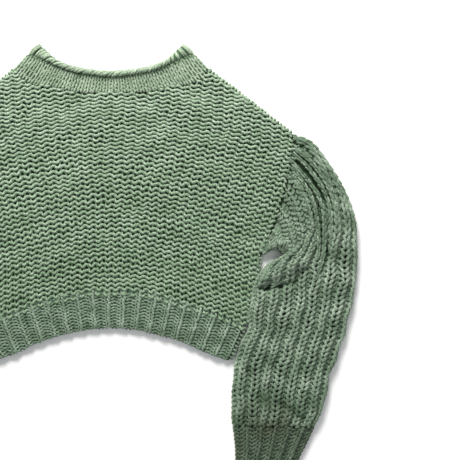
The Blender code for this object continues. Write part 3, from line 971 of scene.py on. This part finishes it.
def cuff_yarn(form, seed, segments, sides):
    """One-and-one rib of the cuff."""
    yarn = Yarn(sides)
    random = np.random.default_rng(seed)
    tone = Waver(seed + 3, 26.0)
    courses = 13
    repeats = 12
    stitches = 2 * repeats
    for course in range(courses + 1):
        phase, place, height, kind = rib_wave(0, stitches, segments, 0.13, 0.75, 0.0)
        size = stitches + 3
        knots = np.arange(size) - 1
        at = phase / (2 * math.pi)
        shift, rise, fat = (np.interp(at, knots, random.normal(0, s, size))
                            for s in (0.03, 0.05, 0.06))
        level = (course + 0.72 * height + rise) / courses
        spot, normal = form.at((place + shift) / repeats, np.clip(level, 0, 1))
        ridge = np.maximum(kind, 0) * np.sin(phase)
        depth = -1.4 * np.cos(2 * phase) * kind + 1.3 * kind - 2.1 + 1.1 * ridge
        path = spot + normal * depth[:, None]
        path[:, 2] = np.maximum(path[:, 2], 1.7)
        radius = 2.05 * (1 + fat) * (1 + 0.15 * ridge)
        # Painted shade and highlight: purl columns darker, knit columns and their ridges lighter.
        tint = 0.42 + 0.10 * tone(path[:, 0], path[:, 1]) + 0.08 * kind + 0.06 * ridge
        inside = (level > -0.04) & (level < 1.02)
        for begin, end in runs_inside(inside):
            part = slice(begin, end)
            yarn.lay(path[part], normal[part], radius[part], tint[part])
    return yarn


def neck_form():
    """The outside of the neckband, from its seam over the rolled edge."""
    grid = []
    for up in np.linspace(0, 1, 61):
        rolled = min(1.0, max(0.0, (up - ROLL_START) / ROLL_SPAN))
        roll = max(0.0, math.sin(math.pi * rolled))

        def plan(shares, up=up):
            return np.column_stack(neck_spot(2 * shares - 1, np.full(len(shares), up)))

        def height(x, y, roll=roll):
            shares = np.linspace(0, 1, len(x))
            return FRONT_TOP + ROLL_HEIGHT * roll * (1 - np.abs(2 * shares - 1) ** 6)

        grid.append(ring_of(plan, height, 360))
    return Form(np.array(grid), closed=True)


def neck_yarn(form, seed, segments, sides):
    """Stocking stitch in the band, and the slanting strands of the edge that rolls over it."""
    yarn = Yarn(sides)
    random = np.random.default_rng(seed)
    tone = Waver(seed + 3, 26.0)
    courses = 4
    stitches = 66
    for course in range(courses + 1):
        phase, across, height = stitch_path(0, stitches, segments, 0.13)
        size = stitches + 3
        knots = np.arange(size) - 1
        at = phase / (2 * math.pi)
        shift, rise, fat = (np.interp(at, knots, random.normal(0, s, size))
                            for s in (0.06, 0.10, 0.08))
        level = 0.03 + 0.50 * (course + 0.72 * height + rise) / courses
        spot, normal = form.at((across + shift) / stitches, np.clip(level, 0, 1))
        depth = -0.9 * np.cos(2 * phase) - 1.2
        path = spot + normal * depth[:, None]
        path[:, 2] = np.maximum(path[:, 2], 1.6)
        radius = 1.85 * (1 + fat)
        tint = 0.60 + 0.08 * tone(path[:, 0], path[:, 1])
        # Painted shadow: the band's top course, under the rolled edge, is darker.
        tint = tint - 0.4 * np.clip((level - 0.44) / 0.08, 0, 1)
        inside = (level > -0.06) & (level < 0.56)
        for begin, end in runs_inside(inside):
            part = slice(begin, end)
            yarn.lay(path[part], normal[part], radius[part], tint[part])
    strands = 124
    for strand in range(strands):
        turn = np.linspace(0, 1, 11)
        place = (strand + 0.25 * random.normal()) / strands
        fold = abs(math.cos(2 * math.pi * place)) ** 8
        slant = 0.030 * (1 + 0.15 * random.normal()) * (1 - fold)
        place = place + slant * (turn - 0.5)
        level = 0.53 + 0.47 * turn
        spot, normal = form.at(place, level)
        puff = 3.2 * np.sin(np.pi * np.clip(turn * 1.1, 0, 1)) - 2.8
        path = spot + normal * puff[:, None]
        path[:, 2] = np.maximum(path[:, 2], 1.6)
        path[:, :2] += 0.7 * random.normal(0, 0.5, 2)
        radius = 1.95 * (1 + 0.10 * random.normal()) * (0.8 + 0.2 * np.sin(np.pi * turn))
        # Painted shadow at the foot of each strand along the roll line, and a painted highlight
        # growing towards the rolled top edge.
        tint = 0.60 + 0.10 * random.normal() + 0.08 * turn - 0.45 * np.clip(1 - turn / 0.2, 0, 1)
        yarn.lay(path, normal, radius, tint)
    return yarn


def finish_piece(node):
    """Hide a piece's solid; its shell and yarn, made beforehand, stand in its place."""
    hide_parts(node)


def make_body():
    """The front and the back."""
    for front, word, segments, sides in ((False, "back", 8, 4), (True, "front", 10, 5)):
        cloth = body_shell(f"{word}_cloth", front)
        low, high = body_yarn(front, 11 if front else 57, segments, sides)
        yarns = [low.build(f"{word}_yarn_lower", BODY_YARN),
                 high.build(f"{word}_yarn_upper", BODY_YARN)]
        if front:
            edges = edge_yarn(([NECK_SEAM[-1], SHOULDER_TIP], BODY_SIDE[::-1]), 17)
            yarns += [edges.build("body_edge_left", BODY_YARN),
                      edges.build("body_edge_right", BODY_YARN, True)]
        finish_piece(word)


def make_hems():
    """The two halves of the hem's rib."""
    for front, word, segments, sides in ((False, "back", 8, 4), (True, "front", 12, 6)):
        cloth = hem_shell(f"hem_rib_{word}_cloth", front)
        yarn = hem_yarn(front, 23 if front else 71, segments, sides)
        yarns = [yarn.build(f"hem_rib_{word}_yarn", RIB_YARN_PAINTED_SHADE)]
        if front:
            edges = edge_yarn((HEM_SIDE[::-1],), 29)
            yarns += [edges.build("hem_edge_left", RIB_YARN_PAINTED_SHADE),
                      edges.build("hem_edge_right", RIB_YARN_PAINTED_SHADE, True)]
        finish_piece(f"hem_rib_{word}")


def make_neckband():
    """The neckband, all round the neck."""
    form = neck_form()
    cloth = tube_shell("neckband_cloth", form, 2.0, False, 0.0, 0.97, 25, ground=NECK_GROUND)
    made = neck_yarn(form, 31, 10, 5).build("neckband_yarn", NECK_YARN)
    finish_piece("neckband")


def make_sleeves():
    """Both sleeves and both cuffs."""
    for side, word, seed in ((1, "left", 101), (-1, "right", 211)):
        mirrored = side < 0
        form = tube_form(SLEEVE_SECTIONS, 181, folded=True)
        cloth = tube_shell(f"sleeve_{word}_cloth", form, 5.2, mirrored, 0.0, 1.0, 121, creases=True)
        top, under = sleeve_yarn(form, seed, 9, 5)
        yarns = [top.build(f"sleeve_{word}_yarn_top", SLEEVE_YARN_PAINTED_SHADE, mirrored),
                 under.build(f"sleeve_{word}_yarn_under", SLEEVE_YARN_PAINTED_SHADE, mirrored)]
        finish_piece(f"sleeve_{word}")
        form = tube_form(CUFF_SECTIONS, 61)
        cloth = tube_shell(f"cuff_{word}_cloth", form, 3.0, mirrored, 0.0, 0.985, 17)
        made = cuff_yarn(form, seed + 9, 9, 5).build(f"cuff_{word}_yarn", CUFF_YARN_PAINTED_SHADE, mirrored)
        finish_piece(f"cuff_{word}")


# ---------------------------------------------------------------- floor, light and camera

CAMERA_HEIGHT = 2.4             # metres, as the rest of this section
CLOTH_HEIGHT = 0.012
VIEW_WIDTH = 0.713
VIEW_CENTRE = (0.1845, 0.0473)


def make_floor():
    """A plain pale floor."""
    mesh = bpy.data.meshes.new("floor")
    mesh.from_pydata([(-6, -6, -0.001), (6, -6, -0.001), (6, 6, -0.001), (-6, 6, -0.001)], [],
                     [(0, 1, 2, 3)])
    floor = bpy.data.objects.new("floor", mesh)
    bpy.context.scene.collection.objects.link(floor)
    finish = bpy.data.materials.new("pale_floor")
    finish.use_nodes = True
    shader = finish.node_tree.nodes["Principled BSDF"]
    shader.inputs["Base Color"].default_value = (0.88, 0.88, 0.87, 1.0)
    shader.inputs["Roughness"].default_value = 0.9
    mesh.materials.append(finish)


def make_light(name, place, target, size, power, colour):
    """A soft square light that faces a target."""
    lamp = bpy.data.lights.new(name, "AREA")
    lamp.size = size
    lamp.energy = power
    lamp.color = colour
    light = bpy.data.objects.new(name, lamp)
    bpy.context.scene.collection.objects.link(light)
    aim = np.array(target, float) - np.array(place, float)
    light.location = place
    light.rotation_euler = (math.atan2(np.hypot(aim[0], aim[1]), -aim[2]), 0.0,
                            math.atan2(aim[1], aim[0]) - math.pi / 2)
    return light


def make_stage():
    """Floor, light and a camera straight above."""
    make_floor()
    make_light("window", (-0.40, 2.4, 1.75), (0.1, 0.0, 0.0), 1.3, 165.0, (1.0, 0.985, 0.955))
    make_light("room", (0.6, -1.2, 2.6), (0.1, 0.0, 0.0), 2.4, 14.0, (0.95, 0.98, 1.0))
    bpy.context.scene.view_settings.view_transform = "Standard"
    world = bpy.data.worlds.new("room")
    world.use_nodes = True
    world.node_tree.nodes["Background"].inputs["Color"].default_value = (0.93, 0.95, 0.97, 1.0)
    world.node_tree.nodes["Background"].inputs["Strength"].default_value = 0.45
    bpy.context.scene.world = world
    camera_data = bpy.data.cameras.new("camera")
    camera = bpy.data.objects.new("camera", camera_data)
    bpy.context.scene.collection.objects.link(camera)
    camera.location = (*VIEW_CENTRE, CAMERA_HEIGHT)
    camera.rotation_euler = (0.0, 0.0, 0.0)
    camera_data.sensor_width = 36.0
    camera_data.lens = 36.0 * (CAMERA_HEIGHT - CLOTH_HEIGHT) / VIEW_WIDTH
    bpy.context.scene.camera = camera


make_body()
make_hems()
make_neckband()
make_sleeves()
make_stage()
